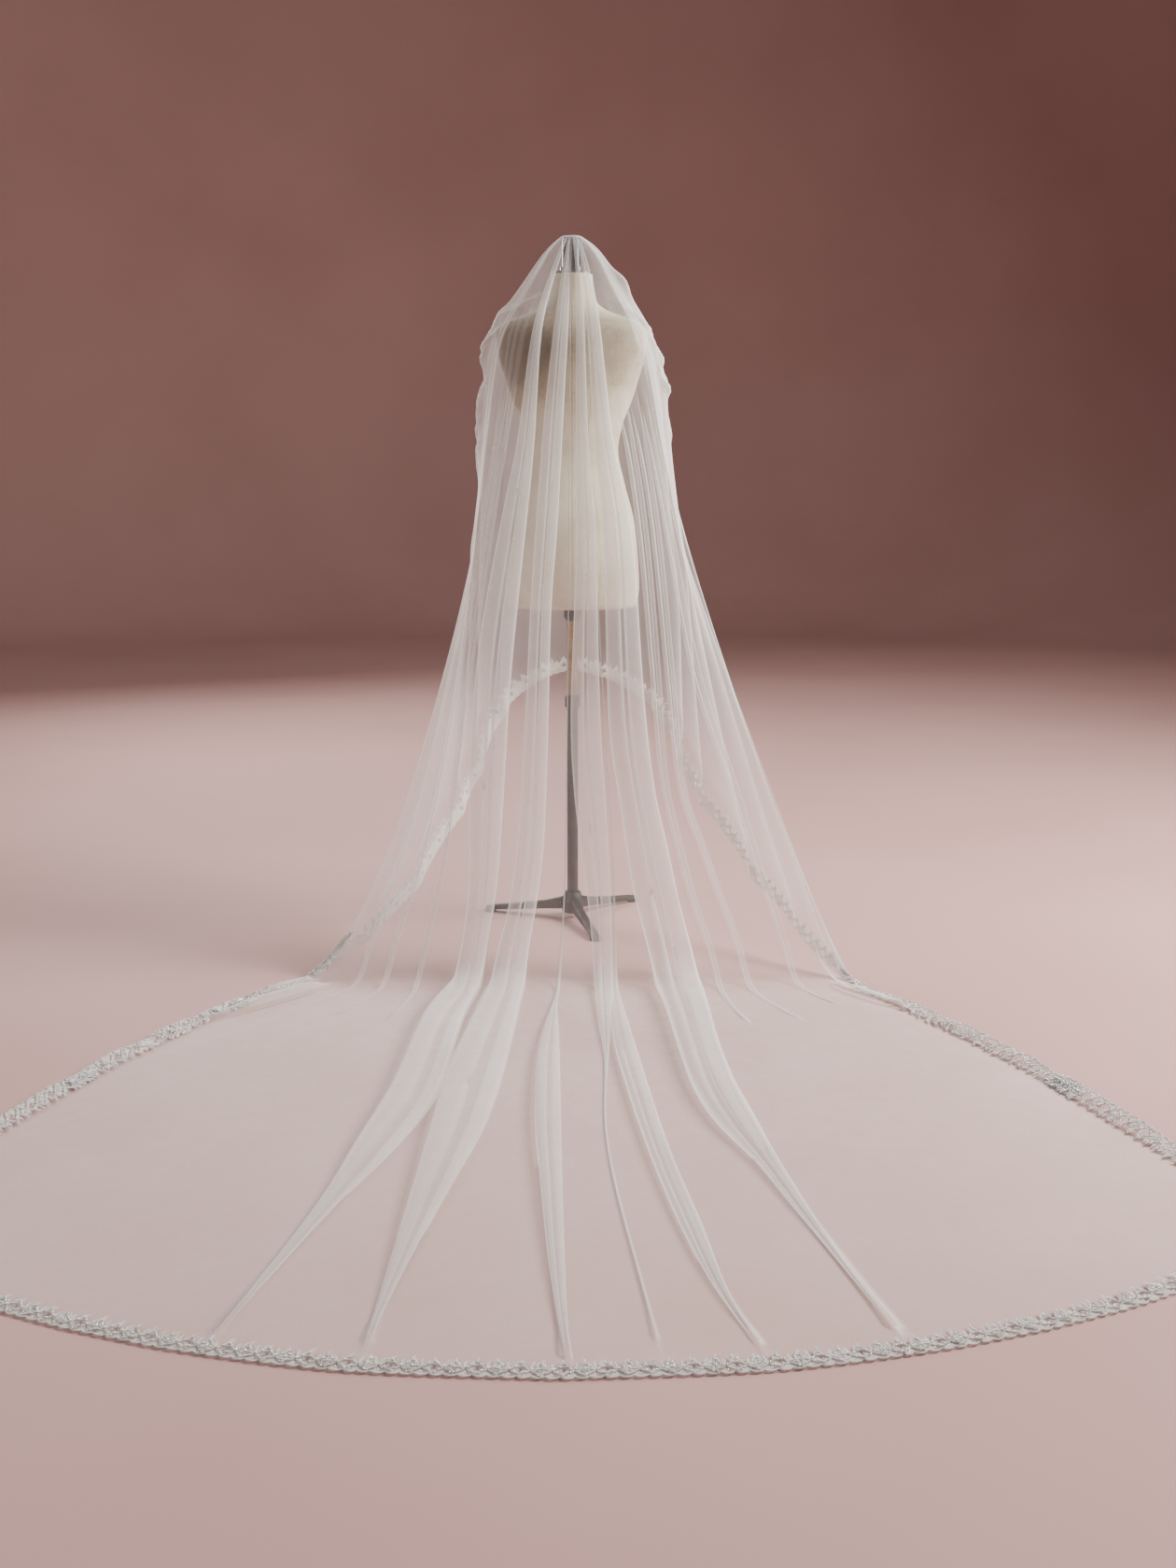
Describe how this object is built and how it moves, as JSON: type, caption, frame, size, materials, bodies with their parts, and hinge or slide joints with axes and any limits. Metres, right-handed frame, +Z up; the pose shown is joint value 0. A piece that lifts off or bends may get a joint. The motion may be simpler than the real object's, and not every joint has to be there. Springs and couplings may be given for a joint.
{
  "type": "bridal veil on dress form",
  "caption": "Cathedral-length oval tulle bridal veil with a scalloped floral lace edge, hung from the neck post of a limbless dress form, its train spread on the floor.",
  "frame": {"origin": "centre of the whole part's box, on the floor; the stand's axis is at Y 0.9675", "axes": "+Z up; +Y the front of the dress form, where the veil is open in a low arch; the train runs out towards -Y; +X is the right of someone who looks from the train's end at the form's back"},
  "size_m": [2.0246, 2.3371, 1.6221],
  "materials": {
    "tulle": "sheer ivory-white net, soft and matt",
    "lace": "silvery ivory thread with small clear crystals",
    "linen": "cream cover cloth, matt",
    "dark_chrome": "polished dark metal",
    "cast_iron": "black painted, satin",
    "brass": "aged brown, satin"
  },
  "bodies": {
    "root": {"tulle": "tulle", "lace_border": "lace", "torso": "linen", "neck_cap": "cast_iron", "neck_post": "dark_chrome", "knob": "cast_iron", "upper_tube": "brass", "collar": "cast_iron", "lower_tube": "cast_iron", "hub": "cast_iron", "leg_left": "cast_iron", "leg_right": "cast_iron", "leg_near": "cast_iron", "foot_left": "cast_iron", "foot_right": "cast_iron", "foot_near": "cast_iron"}
  },
  "joints": []
}
